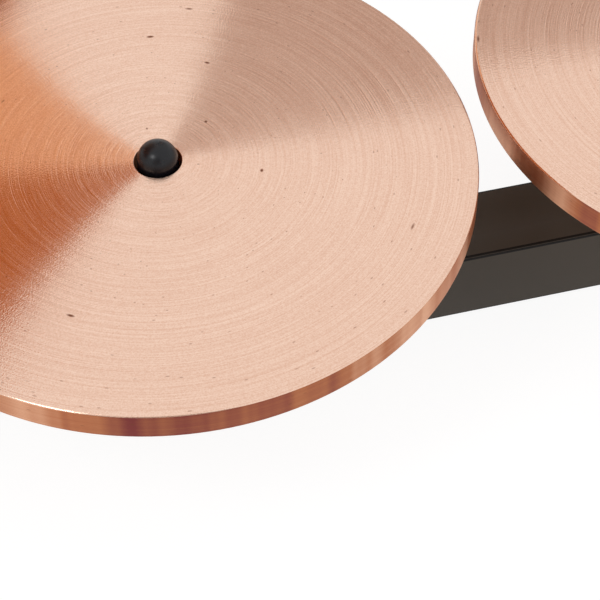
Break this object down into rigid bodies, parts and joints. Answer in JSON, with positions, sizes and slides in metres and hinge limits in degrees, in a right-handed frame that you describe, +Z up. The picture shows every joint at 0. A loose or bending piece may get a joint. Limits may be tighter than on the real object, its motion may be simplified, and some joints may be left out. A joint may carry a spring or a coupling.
{
  "type": "crotales set",
  "caption": "Chromatic set of tuned bronze crotales on felted posts, naturals in front and sharps raised behind, on black bars with clamps for stand rods.",
  "frame": {"origin": "under the middle of the whole set, on the plane that the bars rest on", "axes": "+X along the bars from low notes to high, +Y from the player's side to the back, +Z up"},
  "size_m": [1.0188, 0.2714, 0.0809],
  "materials": {
    "bronze": "cast bell bronze, faced and turned on a lathe, fine concentric cuts, satin",
    "black_bar": "extruded bar, satin black, slightly warm",
    "black_steel": "turned steel, blackened",
    "zinc_steel": "zinc plated",
    "black_vinyl": "dipped soft vinyl, smooth, half gloss",
    "black_felt": "pressed wool felt",
    "black_plastic": "moulded, fine texture"
  },
  "bodies": {
    "frame": {"front_bar": "black_bar", "rear_bar": "black_bar", "cross_bar_left": "black_bar", "cross_bar_right": "black_bar", "bar_screw_left": "zinc_steel", "bar_screw_right": "zinc_steel", "post_c_low": "black_steel", "post_c_sharp": "black_steel", "post_d": "black_steel", "post_d_sharp": "black_steel", "post_e": "black_steel", "post_f": "black_steel", "post_f_sharp": "black_steel", "post_g": "black_steel", "post_g_sharp": "black_steel", "post_a": "black_steel", "post_a_sharp": "black_steel", "post_b": "black_steel", "post_c_high": "black_steel", "felt_c_low": "black_felt", "felt_c_sharp": "black_felt", "felt_d": "black_felt", "felt_d_sharp": "black_felt", "felt_e": "black_felt", "felt_f": "black_felt", "felt_f_sharp": "black_felt", "felt_g": "black_felt", "felt_g_sharp": "black_felt", "felt_a": "black_felt", "felt_a_sharp": "black_felt", "felt_b": "black_felt", "felt_c_high": "black_felt", "cap_c_low": "black_vinyl", "cap_c_sharp": "black_vinyl", "cap_d": "black_vinyl", "cap_d_sharp": "black_vinyl", "cap_e": "black_vinyl", "cap_f": "black_vinyl", "cap_f_sharp": "black_vinyl", "cap_g": "black_vinyl", "cap_g_sharp": "black_vinyl", "cap_a": "black_vinyl", "cap_a_sharp": "black_vinyl", "cap_b": "black_vinyl", "cap_c_high": "black_vinyl"},
    "disc_c_low": {"crotale_c_low": "bronze"},
    "disc_c_sharp": {"crotale_c_sharp": "bronze"},
    "disc_d": {"crotale_d": "bronze"},
    "disc_d_sharp": {"crotale_d_sharp": "bronze"},
    "disc_e": {"crotale_e": "bronze"},
    "disc_f": {"crotale_f": "bronze"},
    "disc_f_sharp": {"crotale_f_sharp": "bronze"},
    "disc_g": {"crotale_g": "bronze"},
    "disc_g_sharp": {"crotale_g_sharp": "bronze"},
    "disc_a": {"crotale_a": "bronze"},
    "disc_a_sharp": {"crotale_a_sharp": "bronze"},
    "disc_b": {"crotale_b": "bronze"},
    "disc_c_high": {"crotale_c_high": "bronze"},
    "knob_left": {"clamp_knob_left": "black_plastic"},
    "knob_right": {"clamp_knob_right": "black_plastic"}
  },
  "joints": [
    {"name": "spin_c_low", "type": "hinge", "parent": "frame", "child": "disc_c_low", "pos_m": [-0.43641, -0.06271, 0.0541], "axis": [0, 0, 1], "continuous": true},
    {"name": "spin_c_sharp", "type": "hinge", "parent": "frame", "child": "disc_c_sharp", "pos_m": [-0.36281, 0.06479, 0.0734], "axis": [0, 0, 1], "continuous": true},
    {"name": "spin_d", "type": "hinge", "parent": "frame", "child": "disc_d", "pos_m": [-0.28921, -0.06271, 0.0541], "axis": [0, 0, 1], "continuous": true},
    {"name": "spin_d_sharp", "type": "hinge", "parent": "frame", "child": "disc_d_sharp", "pos_m": [-0.21959, 0.06479, 0.0734], "axis": [0, 0, 1], "continuous": true},
    {"name": "spin_e", "type": "hinge", "parent": "frame", "child": "disc_e", "pos_m": [-0.14996, -0.06271, 0.0541], "axis": [0, 0, 1], "continuous": true},
    {"name": "spin_f", "type": "hinge", "parent": "frame", "child": "disc_f", "pos_m": [-0.01643, -0.06271, 0.0541], "axis": [0, 0, 1], "continuous": true},
    {"name": "spin_f_sharp", "type": "hinge", "parent": "frame", "child": "disc_f_sharp", "pos_m": [0.04764, 0.06479, 0.0734], "axis": [0, 0, 1], "continuous": true},
    {"name": "spin_g", "type": "hinge", "parent": "frame", "child": "disc_g", "pos_m": [0.11171, -0.06271, 0.0541], "axis": [0, 0, 1], "continuous": true},
    {"name": "spin_g_sharp", "type": "hinge", "parent": "frame", "child": "disc_g_sharp", "pos_m": [0.17233, 0.06479, 0.0734], "axis": [0, 0, 1], "continuous": true},
    {"name": "spin_a", "type": "hinge", "parent": "frame", "child": "disc_a", "pos_m": [0.23296, -0.06271, 0.0541], "axis": [0, 0, 1], "continuous": true},
    {"name": "spin_a_sharp", "type": "hinge", "parent": "frame", "child": "disc_a_sharp", "pos_m": [0.29033, 0.06479, 0.0734], "axis": [0, 0, 1], "continuous": true},
    {"name": "spin_b", "type": "hinge", "parent": "frame", "child": "disc_b", "pos_m": [0.3477, -0.06271, 0.0541], "axis": [0, 0, 1], "continuous": true},
    {"name": "spin_c_high", "type": "hinge", "parent": "frame", "child": "disc_c_high", "pos_m": [0.45778, -0.06271, 0.0541], "axis": [0, 0, 1], "continuous": true},
    {"name": "clamp_left", "type": "hinge", "parent": "frame", "child": "knob_left", "pos_m": [-0.2677, 0.00116, 0.00953], "axis": [-1, 0, 0], "range_deg": [-450, 0]},
    {"name": "clamp_right", "type": "hinge", "parent": "frame", "child": "knob_right", "pos_m": [0.27494, 0.00116, 0.00953], "axis": [1, 0, 0], "range_deg": [-450, 0]}
  ]
}
